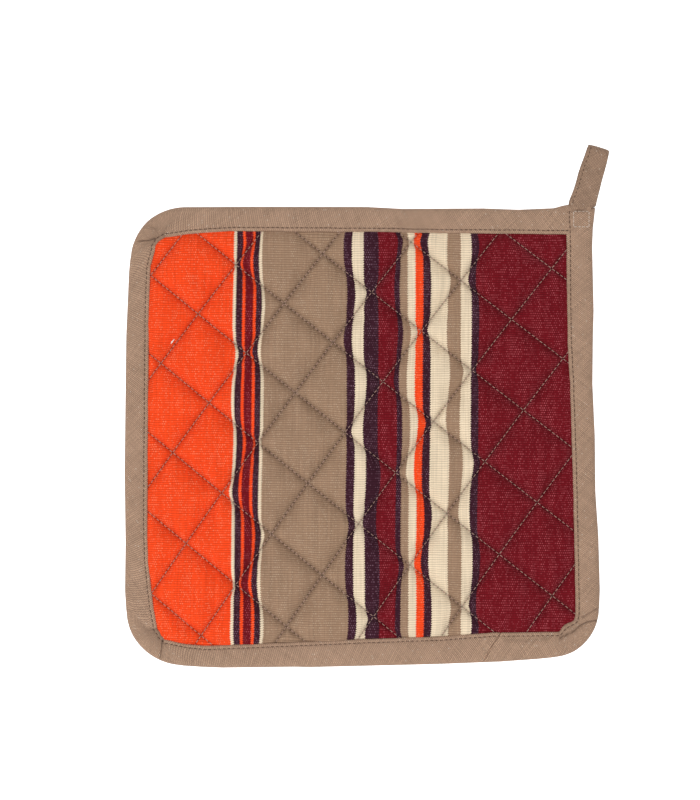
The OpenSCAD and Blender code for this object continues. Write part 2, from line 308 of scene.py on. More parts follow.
class Edge:
    """The pad's edge. A place on it is a distance round from the loop's corner, anticlockwise
    seen from the front, and a distance in from the outside."""

    def __init__(self, pad):
        right, top = pad.width / 2, pad.height / 2
        self.corners = [
            np.array((right - pad.right_flare / 2, top - pad.top_drop / 2)),
            np.array((-right + pad.left_flare / 2, top + pad.top_drop / 2)),
            np.array((-right - pad.left_flare / 2, -top - pad.bottom_rise / 2)),
            np.array((right + pad.right_flare / 2, -top + pad.bottom_rise / 2)),
        ]
        self.radii = [0, pad.top_left, pad.bottom_left, pad.bottom_right]
        self.tucks = [0, pad.tuck_top_left, pad.tuck_bottom_left, pad.tuck_bottom_right]
        self.tape = pad.tape_width
        self.stretches = []
        along = 0
        for i in range(4):
            run = np.linalg.norm(self.side_end(i, 0) - self.side_start(i, 0))
            self.stretches.append(("side", i, along, run))
            along += run
            if i < 3:
                run = self.radius(i + 1, 0) * self.turn(i + 1)
                self.stretches.append(("corner", i + 1, along, run))
                along += run
        self.length = along

    def direction(self, i):
        return unit(self.corners[(i + 1) % 4] - self.corners[i % 4])

    def inward(self, i):
        x, y = self.direction(i)
        return np.array((-y, x))

    def turn(self, i):
        before, after = self.direction(i - 1), self.direction(i)
        return math.acos(np.clip(before @ after, -1, 1))

    def radius(self, i, inset):
        tuck = self.tucks[i] * min(1, max(0, inset) / self.tape)
        return max(LEAST_RADIUS, self.radii[i] - inset - tuck)

    def centre(self, i, inset):
        deep = inset + self.radius(i, inset)
        before, after = -self.direction(i - 1), self.direction(i)
        sine = abs(before[0] * after[1] - before[1] * after[0])
        return self.corners[i] + (before + after) * deep / sine

    def side_start(self, i, inset):
        if i == 0:
            return self.corners[0] + self.inward(0) * inset
        return self.centre(i, inset) - self.inward(i) * self.radius(i, inset)

    def side_end(self, i, inset):
        if i == 3:
            return self.corners[0] + self.inward(3) * inset
        return self.centre(i + 1, inset) - self.inward(i) * self.radius(i + 1, inset)

    def place(self, along, inset):
        """The point, and the direction straight out of the pad there."""
        for kind, i, start, run in self.stretches:
            if along <= start + run or i == 3 and kind == "side":
                share = (along - start) / run
                break
        if kind == "side":
            a, b = self.side_start(i, inset), self.side_end(i, inset)
            return a + (b - a) * share, -self.inward(i)
        out = -self.inward(i - 1)
        angle = math.atan2(out[1], out[0]) + self.turn(i) * share
        out = np.array((math.cos(angle), math.sin(angle)))
        return self.centre(i, inset) + out * self.radius(i, inset), out

    def outer(self, along):
        """How far out of line the binding's outer edge lies."""
        steps, values = zip(*STRAY_OUTER)
        return np.interp(along / MM, steps, values) * MM

    def inner(self, along):
        """How far in the binding's inner edge lies."""
        steps, values = zip(*STRAY_INNER)
        waver = 0.12 * noise.noise(Vector((along / MM / 7, 9.1, 0)))
        return self.tape + (np.interp(along / MM, steps, values) + waver) * MM

    def walk(self, inset_at, start, end, step):
        """Evenly spaced points along a line that keeps inset_at(along) inside the edge,
        as (point, direction along the line, distance round)."""
        fine = np.linspace(start, end, int((end - start) / (0.4 * MM)) + 2)
        points = np.array([self.place(s, inset_at(s))[0] for s in fine])
        gone = np.concatenate(([0], np.cumsum(np.linalg.norm(np.diff(points, axis=0), axis=1))))
        count = max(1, round(gone[-1] / step))
        marks = (np.arange(count) + 0.5) * gone[-1] / count
        result = []
        for mark in marks:
            k = min(np.searchsorted(gone, mark), len(fine) - 1)
            point = np.array([np.interp(mark, gone, points[:, axis]) for axis in (0, 1)])
            result.append((point, unit(points[k] - points[k - 1]), np.interp(mark, gone, fine)))
        return result

    def panel_outline(self):
        """The line of the binding's inner edge, as points round the showing panel."""
        corner_x = self.corners[0][0] - self.inner(self.length)
        corner_y = self.corners[0][1] - self.inner(0)
        points = []
        for along in np.arange(0, self.length, 2 * MM):
            x, y = self.place(along, self.inner(along))[0]
            past_top = along < CORNER_REACH and x > corner_x - 0.1 * MM
            past_side = along > self.length - CORNER_REACH and y > corner_y - 0.1 * MM
            if not (past_top or past_side):
                points.append((x, y))
        return np.array([(corner_x, corner_y)] + points)


def depth_inside(points, outline):
    """How far each point lies inside the outline, below zero outside."""
    best = np.full(len(points), 1e9)
    side = np.ones(len(points))
    for a, b in zip(outline, np.roll(outline, -1, axis=0)):
        run = b - a
        share = np.clip((points - a) @ run / (run @ run), 0, 1)
        gap = points - (a + share[:, None] * run)
        far = np.linalg.norm(gap, axis=1)
        nearer = far < best - 1e-9
        best[nearer] = far[nearer]
        left = run[0] * gap[:, 1] - run[1] * gap[:, 0]
        side[nearer] = np.where(left[nearer] >= 0, 1, -1)
    return best * side


# ------ the quilting

# How the sewing bows the stitch lines, in millimetres: the shift of the whole net, then what
# each square of m, product of m and n, and square of n adds
BOW_X = (-1.2, 0.172, 0, 0.160)
BOW_Y = (0.3, -0.087, 0.202, -0.012)
# Over what distance from a stitch line or the binding the cloth rises, and how full it is there
PUFF_RISE, PUFF_FALL, PUFF_EDGE = (13.6 * MM, 6.5), (13.4 * MM, 6.5), (7 * MM, 2.2)
SWELL_ROOM = 0.2 * MM


class Quilting:
    """The two families of stitch lines. A place is its number of steps across the rising lines
    and across the falling ones, so that lines lie at whole numbers."""

    def __init__(self, quilt):
        self.quilt = quilt
        self.fall = np.array((math.sin(quilt.fall_angle), math.cos(quilt.fall_angle)))
        self.rise = np.array((math.sin(quilt.rise_angle), -math.cos(quilt.rise_angle)))
        self.cross = self.fall[0] * self.rise[1] - self.fall[1] * self.rise[0]

    def place(self, m, n):
        """Where that place is on the pad: straight lines, a little bowed by the sewing."""
        a = self.quilt.fall_shift + n * self.quilt.fall_step
        b = self.quilt.rise_shift + m * self.quilt.rise_step
        x = (a * self.rise[1] - b * self.fall[1]) / self.cross
        y = (b * self.fall[0] - a * self.rise[0]) / self.cross
        bow_x, bow_y = (shift + mm * m * m + mn * m * n + nn * n * n
                        for shift, mm, mn, nn in (BOW_X, BOW_Y))
        return x + bow_x * MM, y + bow_y * MM


def line_gap(steps, step):
    """The distance to the nearest stitch line of a family, at that many steps across it."""
    nearest = np.clip(np.round(steps), -LAST_LINE, LAST_LINE)
    return np.abs(steps - nearest) * step


def both_gaps(steps, quilt):
    """The distances to the nearest rising and falling stitch lines."""
    return line_gap(steps[:, 0], quilt.rise_step), line_gap(steps[:, 1], quilt.fall_step)


def puff(gap, reach, fullness):
    """0 at no gap, and 1 from the reach on."""
    return 1 - (1 - np.clip(gap / reach, 0, 1)) ** fullness


def quilted_sheet(pad, quilt, edge, fineness):
    """A flat cloth cut to the pad, with its threads' places and its quilting steps kept on it."""
    lines = Quilting(quilt)
    count = 2 * STEPS * fineness

    def place(column, row):
        steps = []
        for k in (column, row):
            t = k / fineness - STEPS
            # The faces are smaller beside the stitch lines
            steps.append(t - 0.68 * math.sin(2 * math.pi * t) / (2 * math.pi))
        x, y = lines.place(*steps)
        return (x, y, 0), (0, 0, 0), (*steps, 0)

    bm = laid_grid(count, count, place, ("weave", "quilting"))
    for along in np.linspace(0, edge.length, 90):
        point, out = edge.place(along, pad.raw_edge - edge.outer(along))
        bmesh.ops.bisect_plane(bm, geom=bm.verts[:] + bm.edges[:] + bm.faces[:], dist=1e-7,
                               plane_co=(*point, 0), plane_no=(*out, 0), clear_outer=True)
    bmesh.ops.remove_doubles(bm, verts=bm.verts, dist=0.02 * MM)
    if sum(face.normal.z for face in bm.faces) < 0:
        bmesh.ops.reverse_faces(bm, faces=bm.faces)
    return bm


def sheet_arrays(bm, edge):
    """The vertices' places, quilting steps and depths inside the panel."""
    layer = bm.verts.layers.float_vector["quilting"]
    flat = np.array([vert.co.xy for vert in bm.verts])
    steps = np.array([vert[layer].xy for vert in bm.verts])
    return flat, steps, depth_inside(flat, edge.panel_outline())


def puffed_heights(steps, depth, quilt):
    """How high the front cover lies over its wadding before it swells."""
    rise, fall = both_gaps(steps, quilt)
    puffs = puff(rise, *PUFF_RISE) * puff(fall, *PUFF_FALL) * puff(depth, *PUFF_EDGE)
    inside = smooth_step(depth / (3 * MM))
    pinch = 0.55 * MM * bell(np.minimum(rise, fall), 0.8 * MM) * inside
    margin = TAPE_TOP - PRESSED
    bed = margin + (LINE_BED - margin) * inside
    return bed + (PUFF_TOP - SWELL_ROOM - bed) * puffs - pinch


def sawtooth(steps):
    """Runs from -0.5 to 0.5 between two stitch lines, and turns back softly across a line."""
    share = steps - np.floor(steps)
    near = np.minimum(share, 1 - share)
    return (share - 0.5) * smooth_step(near / 0.06)


def lay_threads(bm, flat, steps, depth, quilt):
    """Keeps where each point of the cloth was before it was sewn, in millimetres, and how much painted
    shade it gets beside the stitch lines."""
    layer = bm.verts.layers.float_vector["weave"]
    pull = quilt.take_up * smooth_step(depth / (4 * MM))
    saw_m, saw_n = sawtooth(steps[:, 0]), sawtooth(steps[:, 1])
    # The cloth was laid a little askew: its stripes lean by so much, at these distances across
    lean = np.interp(flat[:, 0] / MM, (-55, -42, -6, 50), (0.0085, 0.005, -0.002, -0.002))
    across = flat[:, 0] - pull * (saw_m + saw_n) - lean * flat[:, 1]
    up = flat[:, 1] - pull * (saw_n - saw_m)
    # Painted shade beside the stitch lines, which the cover's material darkens the cloth by
    stitch_shade = sum(bell(gap, 0.85 * MM) for gap in both_gaps(steps, quilt)) * smooth_step(depth / (2 * MM))
    for vert, u, v, painted_shade in zip(bm.verts, across, up, stitch_shade):
        waver = noise.noise_vector(vert.co * 24) * 0.35
        vert[layer] = (u / MM + waver.x, v / MM + waver.y, painted_shade)


# The cloth is worked on at ten times its size, where the solver is at ease
ENLARGE = 10
LAST_FRAME = 20
CLOTH = {"quality": 8, "mass": 0.1, "tension_stiffness": 20, "compression_stiffness": 20,
         "shear_stiffness": 8, "bending_stiffness": 0.04, "air_damping": 2, "shrink_min": -0.03,
         "vertex_group_mass": "held", "use_pressure": True, "uniform_pressure_force": 3}


def swell(piece, held, cap):
    """Lets the sewn cloth swell over its filling, no further than cap, and keeps the shape."""
    before = np.array([vert.co for vert in piece.data.vertices])
    group = piece.vertex_groups.new(name="held")
    for index in np.nonzero(held)[0]:
        group.add([int(index)], 1, "REPLACE")
    piece.data.transform(Matrix.Scale(ENLARGE, 4))
    cloth = piece.modifiers.new("swell", "CLOTH")
    for key, value in CLOTH.items():
        setattr(cloth.settings, key, value)
    cloth.settings.effector_weights.gravity = 0
    cloth.collision_settings.use_collision = False
    scene = bpy.context.scene
    scene.frame_start, scene.frame_end = 1, LAST_FRAME
    cloth.point_cache.frame_start, cloth.point_cache.frame_end = 1, LAST_FRAME
    for number in range(1, LAST_FRAME + 1):
        scene.frame_set(number)
    graph = bpy.context.evaluated_depsgraph_get()
    settled = np.array([vert.co for vert in piece.evaluated_get(graph).data.vertices]) / ENLARGE
    scene.frame_set(1)
    piece.modifiers.remove(cloth)
    piece.vertex_groups.remove(group)
    move = settled - before
    far = np.linalg.norm(move, axis=1)
    move *= (np.minimum(far, cap) / np.maximum(far, 1e-9))[:, None]
    piece.data.vertices.foreach_set("co", (before + move).ravel())
    piece.data.update()


# ------ shader building blocks

class Wire:
    """A value in a shader tree. Sums with it add Math nodes to its tree."""

    def __init__(self, socket):
        self.socket = socket
        self.tree = socket.id_data

    def math(self, operation, *others):
        return made(self.tree, "ShaderNodeMath", self, *others, operation=operation)

    def __add__(self, other):
        return self.math("ADD", other)

    def __sub__(self, other):
        return self.math("SUBTRACT", other)

    def __rsub__(self, other):
        return self * -1 + other

    def __mul__(self, other):
        return self.math("MULTIPLY", other)

    def __truediv__(self, other):
        return self.math("DIVIDE", other)

    def __pow__(self, other):
        return self.math("POWER", other)

    def __abs__(self):
        return self.math("ABSOLUTE")

    def floor(self):
        return self.math("FLOOR")

    def fract(self):
        return self.math("FRACT")

    def sine(self):
        return self.math("SINE")

    def clamped(self):
        """Keeps the sum that gave this value between 0 and 1."""
        self.socket.node.use_clamp = True
        return self

    def split(self):
        return [Wire(part) for part in put(self.tree, "ShaderNodeSeparateXYZ", self).outputs]


def feed(socket, value):
    """Links a wire to a socket, or sets the socket to a constant. None leaves it as it is."""
    if isinstance(value, Wire):
        socket.id_data.links.new(value.socket, socket)
    elif value is not None:
        if socket.type == "RGBA":
            value = (*((value,) * 3 if isinstance(value, (int, float)) else value), 1)
        socket.default_value = value


def put(tree, kind, *values, **settings):
    """Adds a node, makes its settings, and fills its inputs in order."""
    node = tree.nodes.new(kind)
    for key, value in settings.items():
        setattr(node, key, value)
    for socket, value in zip(node.inputs, values):
        feed(socket, value)
    return node


def made(tree, kind, *values, **settings):
    """Adds a node as put does, and gives its first output."""
    return Wire(put(tree, kind, *values, **settings).outputs[0])


def blend_colour(tree, factor, a, b, kind="MIX"):
    """Mixes two colours. Between the factor and the colours come the node's five other inputs."""
    node = put(tree, "ShaderNodeMix", factor, *(None,) * 5, a, b, data_type="RGBA", blend_type=kind)
    return Wire(node.outputs[2])


def band(value, low, high):
    """0 below low, 1 above high and smooth between; the other way round if low is the larger."""
    return made(value.tree, "ShaderNodeMapRange", value, low, high, 0, 1, interpolation_type="SMOOTHSTEP")


def speckle(across, along):
    """A different number from 0 to 1 in each cell of a lattice."""
    cell = made(across.tree, "ShaderNodeCombineXYZ", across.floor(), along.floor())
    return made(across.tree, "ShaderNodeTexWhiteNoise", cell, noise_dimensions="2D")


def streaks(across, along, across_scale, along_scale, detail=2):
    """Noise drawn out in one direction."""
    place = made(across.tree, "ShaderNodeCombineXYZ", across * across_scale, along * along_scale)
    return made(across.tree, "ShaderNodeTexNoise", place, None, 1, detail, noise_dimensions="2D")


# Distances in the cloth are in millimetres
WARP_PITCH = 0.34
SPECK_PITCH = 0.84


def build_ribs(weave, pitch):
    """Thick weft ribs lying across the cloth, with the fine warp yarns that cover them."""
    u, v, _ = weave.split()
    turns = v / pitch + streaks(u, v, 0.12, 0.7) * 0.5
    rib = (turns.fract() * math.pi).sine() ** 0.7
    warp = (u * (2 * math.pi / WARP_PITCH)).sine()
    return rib * (warp * 0.12 + 0.88), turns


def build_specks(weave, turns, amount):
    """Flecks of the pale weft that show between the warp yarns, thick in some streaks."""
    u, v, _ = weave.split()
    across = u / SPECK_PITCH + turns.floor() * 0.5
    in_cell, in_rib = abs(across.fract() - 0.5), abs(turns.fract() - 0.5)
    shape = band(in_cell, 0.36, 0.1) * band(in_rib, 0.36, 0.1)
    level = streaks(u, v, 0.35, 0.07, 3) * amount
    shown = (level - speckle(across, turns) * 0.5).clamped()
    return [shape * (shown * 1.9).clamped()]


def build_holes(quilting, stitches):
    """Where the needle went through, between two stitches of a quilting line."""
    m, n, _ = quilting.split()
    spots = []
    for along, across in ((m, n), (n, m)):
        gap = abs((along * stitches + 0.5).fract() - 0.5)
        off = abs(across - across.math("ROUND"))
        real = abs(across).math("LESS_THAN", LAST_LINE + 0.5)
        spots.append(band(gap, 0.2, 0.1) * band(off, 0.016, 0.007) * real)
    return [spots[0].math("MAXIMUM", spots[1])]


def build_bias(weave, pitch):
    """Plain weave cut on the slant, with its long uneven yarns."""
    s, t, _ = weave.split()
    diagonal = pitch * math.sqrt(2)
    a, b = (s + t) / diagonal, (s - t) / diagonal
    over = ((a.floor() + b.floor()) * 0.5).fract().math("GREATER_THAN", 0.25)
    under = 1 - over
    round_a, round_b = ((yarn.fract() * math.pi).sine() for yarn in (a, b))
    height = round_a * over + round_b * under
    tone = streaks(a.floor(), b, 1.7, 0.05, 1) * over + streaks(b.floor(), a, 1.7, 0.05, 1) * under
    slub = band(speckle(a, b), 0.97, 1) * (round_a * round_b)
    return height, tone, slub


def build_twist(strand):
    """The ply twist of a sewing thread."""
    along, around, _ = strand.split()
    return [abs((along * 26 + around * 2).sine())]


# The effects that materials share: how each is built, what goes in and what comes out
EFFECTS = {
    "ribs": (build_ribs, {"Weave": "Vector", "Pitch": "Float"}, ("Height", "Turns")),
    "weft_specks": (build_specks, {"Weave": "Vector", "Turns": "Float", "Amount": "Float"}, ("Mask",)),
    "needle_holes": (build_holes, {"Quilting": "Vector", "Stitches": "Float"}, ("Mask",)),
    "bias_weave": (build_bias, {"Weave": "Vector", "Pitch": "Float"}, ("Height", "Tone", "Slub")),
    "thread_twist": (build_twist, {"Strand": "Vector"}, ("Height",)),
}


def effect_group(name):
    """The effect's node group with its named sockets, built the first time that it is needed."""
    if name in bpy.data.node_groups:
        return bpy.data.node_groups[name]
    build, inputs, outputs = EFFECTS[name]
    tree = bpy.data.node_groups.new(name, "ShaderNodeTree")
    for socket, kind in inputs.items():
        tree.interface.new_socket(socket, in_out="INPUT", socket_type="NodeSocket" + kind)
    for socket in outputs:
        tree.interface.new_socket(socket, in_out="OUTPUT", socket_type="NodeSocketFloat")
    entry = tree.nodes.new("NodeGroupInput")
    leave = tree.nodes.new("NodeGroupOutput")
    for socket, value in zip(leave.inputs, build(*map(Wire, entry.outputs[:len(inputs)]))):
        feed(socket, value)
    return tree


def use(name, first, *others):
    """Adds the named effect, fed with values in order, and gives its outputs."""
    node = put(first.tree, "ShaderNodeGroup", first, *others, node_tree=effect_group(name))
    return [Wire(socket) for socket in node.outputs]


def kept(tree, name):
    """A value that the mesh carries."""
    return Wire(put(tree, "ShaderNodeAttribute", attribute_name=name,
                    attribute_type="GEOMETRY").outputs["Vector"])


def new_material(name, roughness, sheen):
    """A material with its tree and the constant finish of a cotton cloth."""
    material = bpy.data.materials.new(name)
    material.use_nodes = True
    shader = material.node_tree.nodes["Principled BSDF"]
    for socket, value in (("Roughness", roughness), ("Sheen Weight", sheen), ("Sheen Roughness", 0.5),
                          ("Specular IOR Level", 0.08)):
        shader.inputs[socket].default_value = value
    return material, material.node_tree


def finish(material, colour, height, depth):
    """Gives the material its colour, and its relief of the depth given."""
    shader = material.node_tree.nodes["Principled BSDF"]
    feed(shader.inputs["Base Color"], colour)
    relief = put(material.node_tree, "ShaderNodeBump")
    relief.inputs["Strength"].default_value = 1
    relief.inputs["Distance"].default_value = depth
    feed(relief.inputs["Height"], height)
    feed(shader.inputs["Normal"], Wire(relief.outputs[0]))
    return material


# The stripes from left to right, in the two groups of narrow ones: where each one starts,
# in millimetres, and its colour
STRIPES = (
    ((-57, "orange"), (-54.6, "cream"), (-53.45, "aubergine"), (-50.9, "orange"), (-49.7, "maroon"),
     (-46.6, "orange"), (-45.4, "aubergine"), (-43.1, "cream"), (-41.9, "taupe")),
    ((-9, "taupe"), (-6.4, "aubergine"), (-3.15, "cream"), (1.3, "aubergine"), (7.2, "maroon"),
     (14.7, "aubergine"), (17.0, "taupe"), (20.0, "cream"), (23.1, "orange"), (26.25, "aubergine"),
     (29.3, "cream"), (36.7, "taupe"), (42.25, "cream"), (46.6, "aubergine"), (49.6, "maroon")),
)
GROUP_GAP = -25
# How plainly the pale weft shows in each colour, and the colour it shows there
WEFT = {"orange": (0.62, (255, 150, 112)), "taupe": (0.6, (196, 172, 148)), "maroon": (0.8, (184, 88, 96)),
        "aubergine": (0.78, (134, 100, 116)), "cream": (0.3, (240, 226, 204))}
SLUB = (208, 188, 170)


def stripe_ramp(across, colour_of):
    """A ramp with a hard edge at every stripe, one for each group so that the edges stay sharp."""
    ramps = []
    for stripes in STRIPES:
        first, last = stripes[0][0], stripes[-1][0] + 2
        share = made(across.tree, "ShaderNodeMapRange", across, first, last, 0, 1)
        ramp = put(across.tree, "ShaderNodeValToRGB", share)
        stops = ramp.color_ramp
        stops.interpolation = "CONSTANT"
        for k, (start, name) in enumerate(stripes):
            share = (start - first) / (last - first)
            stop = stops.elements[k] if k < 2 else stops.elements.new(share)
            stop.position = share
            stop.color = (*colour_of(name), 1)
        ramps.append(Wire(ramp.outputs[0]))
    return blend_colour(across.tree, across.math("GREATER_THAN", GROUP_GAP), *ramps)


def striped_cotton(name, stripes, quilt):
    """Ribbed cotton in woven stripes, with needle holes along the quilting, and painted shade between its
    ribs, beside its stitches and in its holes.
    """
    material, tree = new_material(name, 0.88, 0.03)
    weave = kept(tree, "weave")
    height, turns = use("ribs", weave, stripes.rib)
    u, v, stitch_shade = weave.split()
    # Stripe edges step in and out from rib to rib, as each warp end goes over and under
    ragged = (turns * (2 * math.pi)).sine() * 0.2 + u
    ground = stripe_ramp(ragged, lambda key: getattr(stripes, key))
    weft = stripe_ramp(ragged, lambda key: linear(*WEFT[key][1]))
    amount = stripe_ramp(ragged, lambda key: (WEFT[key][0],) * 3)
    mask = use("weft_specks", weave, turns, amount)[0]
    # Yarn-to-yarn tone, times painted shade that is darker between the ribs
    yarn = streaks(u, v, 1.6, 0.04) * 0.42 + 0.79
    cloudy = streaks(u, v, 0.12, 0.12) * 0.16 + 0.92
    shade = yarn * cloudy * (height * 0.44 + 0.68)
    # Little light reaches the cloth down beside the stitches
    shade = shade * (stitch_shade * -0.24 + 1)
    colour = blend_colour(tree, 1, ground, shade, "MULTIPLY")
    colour = blend_colour(tree, mask, colour, weft)
    hole = use("needle_holes", kept(tree, "quilting"), quilt.stitches)[0]
    # Painted shade darkens the cloth in the needle holes
    painted_shade = blend_colour(tree, 1, colour, (0.2, 0.16, 0.15), "MULTIPLY")
    colour = blend_colour(tree, hole * 0.5, colour, painted_shade)
    return finish(material, colour, mask * 0.25 + height - hole * 1.5, 0.14 * MM)


def bias_tape(name, tape, painted_dimming=1.0):
    """Plain cotton cut on the bias, for the binding and the loop; a dimming below 1 darkens it all as
    painted shade.
    """
    material, tree = new_material(name, 0.85, 0.05)
    weave = kept(tree, "weave")
    height, tone, slub = use("bias_weave", weave, tape.yarn)
    s, t, creased = weave.split()
    cloudy = streaks(s, t, 0.12, 0.12) * 0.14 + 0.93
    # Random yarn tone, times painted shade that is darker between the yarns
    shade = (tone * 0.7 + 0.67) * cloudy * (height + 0.33)
    # Little light reaches the bottom of a crease
    shade = shade * (creased * -0.45 + 1)
    # The dimming darkens the cotton's whole colour as painted shade
    colour = blend_colour(tree, 1, [painted_dimming * part for part in tape.tape], shade, "MULTIPLY")
    colour = blend_colour(tree, slub, colour, linear(*SLUB))
    return finish(material, colour, height, 0.10 * MM)


def thread_cotton(name, colour):
    """Spun sewing thread."""
    if name in bpy.data.materials:
        return bpy.data.materials[name]
    material, tree = new_material(name, 0.7, 0.1)
    height = use("thread_twist", kept(tree, "strand"))[0]
    # Painted shade, darker in the grooves of the twist
    colour = blend_colour(tree, 1, colour, height * 0.45 + 0.65, "MULTIPLY")
    return finish(material, colour, height, 0.05 * MM)


def cotton_wool(name, colour):
    """Matted cotton fibre."""
    material, tree = new_material(name, 0.95, 0.2)
    place = Wire(put(tree, "ShaderNodeTexCoord").outputs["Object"])
    fibre = made(tree, "ShaderNodeTexNoise", place, None, 900, 6, 0.7)
    height = fibre + made(tree, "ShaderNodeTexNoise", place, None, 120, 3)
    colour = blend_colour(tree, 1, colour, height * 0.14 + 0.84, "MULTIPLY")
    return finish(material, colour, height, 0.3 * MM)


# ------ stitches

def stitch_mesh(length, width):
    """One stitch: a strand that comes up out of the cloth and goes down into it again."""
    bm = bmesh.new()
    bmesh.ops.create_uvsphere(bm, u_segments=8, v_segments=6, radius=1,
                              matrix=Matrix.Rotation(math.pi / 2, 4, "Y"))
    strand = bm.verts.layers.float_vector.new("strand")
    for vert in bm.verts:
        x, y, z = vert.co
        vert[strand] = (x, math.atan2(z, y), 0)
        # Blunter than an egg, and bowed so that both ends dip
        vert.co = (blunt(x, 0.8) * length / 2, y * width / 2, z * width / 2 - 0.7 * width * x * x)
    mesh = bpy.data.meshes.new("stitch")
    bm.to_mesh(mesh)
    bm.free()
    return mesh


# How far stitches differ in slant and in length
UNEVENNESS = 0.12


def stitch_row(name, places, length, width, material):
    """A row of stitches. A place is a point, the direction along the row and the way up."""
    template = stitch_mesh(length, width)
    bm = bmesh.new()
    bm.verts.layers.float_vector.new("strand")
    for k, (point, along, up) in enumerate(places):
        x = Vector(along).normalized()
        z = Vector(up).normalized()
        y = z.cross(x).normalized()
        z = x.cross(y)
        turn = Matrix((x, y, z)).transposed().to_4x4()
        odd = noise.noise_vector(Vector(point) * 900 + Vector((k, 0, 0)))
        skew = Matrix.Rotation(odd.x * UNEVENNESS, 4, "Z")
        stretch = Matrix.Diagonal((1 + odd.y * UNEVENNESS, 1, 1, 1))
        one = template.copy()
        one.transform(Matrix.Translation(point) @ turn @ skew @ stretch)
        bm.from_mesh(one)
        bpy.data.meshes.remove(one)
    bpy.data.meshes.remove(template)
    return add_piece(name, bm, material)


# ------ operators

class POTHOLDER_OT_stage(bpy.types.Operator):
    """Set up the pale floor, the soft light and the camera straight above the pad"""
    bl_idname = "potholder.stage"
    bl_label = "Stage"

    def execute(self, context):
        stage = context.scene.ph_stage
        bm = bmesh.new()
        bmesh.ops.create_grid(bm, x_segments=1, y_segments=1, size=3)
        floor_white = bpy.data.materials.new("floor_white")
        floor_white.use_nodes = True
        shader = floor_white.node_tree.nodes["Principled BSDF"]
        for socket, value in (("Base Color", (0.8, 0.8, 0.8, 1)), ("Roughness", 0.9),
                              ("Specular IOR Level", 0.1), ("Emission Color", (1, 1, 1, 1))):
            shader.inputs[socket].default_value = value
        # The floor glows for the camera only, so that it shows pure white and lights nothing
        seen = put(floor_white.node_tree, "ShaderNodeLightPath").outputs["Is Camera Ray"]
        floor_white.node_tree.links.new(seen, shader.inputs["Emission Strength"])
        floor = add_piece("floor", bm, floor_white)
        floor.location.z = CAD_BOX[0].z

        world = bpy.data.worlds.new("studio")
        world.use_nodes = True
        sky = world.node_tree.nodes["Background"]
        sky.inputs["Color"].default_value = (1, 1, 1, 1)
        sky.inputs["Strength"].default_value = stage.sky
        context.scene.world = world
        context.scene.view_settings.view_transform = "Standard"

        light = bpy.data.lights.new("key", "AREA")
        light.shape = "DISK"
        light.size = 0.7
        light.energy = stage.key
        key = bpy.data.objects.new("key", light)
        place = Vector((-0.62, -0.78, 1.0)).normalized() * 1.5
        key.matrix_world = Matrix.Translation(place) @ place.to_track_quat("Z", "Y").to_matrix().to_4x4()
        context.scene.collection.objects.link(key)

        lens = bpy.data.cameras.new("camera")
        lens.lens = stage.lens
        lens.sensor_width = 36
        lens.clip_start = 0.01
        camera = bpy.data.objects.new("camera", lens)
        away = stage.view_width * stage.lens / lens.sensor_width
        camera.location = (stage.aim_x, stage.aim_y, TAPE_TOP + away)
        context.scene.collection.objects.link(camera)
        context.scene.camera = camera
        return {"FINISHED"}


def front_sheet(pad, quilt):
    """The front cover's mesh before it swells, and which of its vertices the sewing holds."""
    edge = Edge(pad)
    bm = quilted_sheet(pad, quilt, edge, quilt.fineness)
    flat, steps, depth = sheet_arrays(bm, edge)
    lay_threads(bm, flat, steps, depth, quilt)
    for vert, z in zip(bm.verts, puffed_heights(steps, depth, quilt)):
        vert.co.z = z
    return bm, (np.minimum(*both_gaps(steps, quilt)) < 0.2 * MM) | (depth < 0.3 * MM)


# The back's puffs are squeezed beyond this height off the pad's middle
BACK_PUFF = 3.4 * MM
# Where the back's stripes lie, in millimetres to the right of the front's turned over
BACK_SHIFT = 4


class POTHOLDER_OT_covers(bpy.types.Operator):
    """Cut, quilt and swell the two striped cotton covers"""
    bl_idname = "potholder.covers"
    bl_label = "Covers"

    def execute(self, context):
        pad, quilt, stripes = context.scene.ph_pad, context.scene.ph_quilt, context.scene.ph_stripes
        bm, held = front_sheet(pad, quilt)
        front = add_piece("striped_front", bm, striped_cotton("striped_cotton_front", stripes, quilt))
        swell(front, held, quilt.swell_cap)
        # The back cover is the same cloth turned over, pressed flat where the pad rests on it
        bm = bmesh.new()
        bm.from_mesh(front.data)
        weave = bm.verts.layers.float_vector["weave"]
        for vert in bm.verts:
            down = vert.co.z - MID
            past = down - BACK_PUFF
            vert.co.z = MID - (down * 1.02 if past < 0 else BACK_PUFF + past * 0.5)
            vert[weave] = (BACK_SHIFT - vert[weave].x, vert[weave].y, 0)
        bmesh.ops.reverse_faces(bm, faces=bm.faces)
        back = add_piece("striped_back", bm, striped_cotton("striped_cotton_back", stripes, quilt))
        for piece, side in ((front, "front"), (back, "back")):
            finer = piece.modifiers.new("finer", "SUBSURF")
            finer.levels = finer.render_levels = 1
            thicken(piece, quilt.cloth)
            on_pad(piece, side + "_cover")
        return {"FINISHED"}


# How far the wadding's face lies below the cover's, and how many faces cross one of its diamonds
WADDING_GAP = 1.0 * MM
WADDING_FINENESS = 7


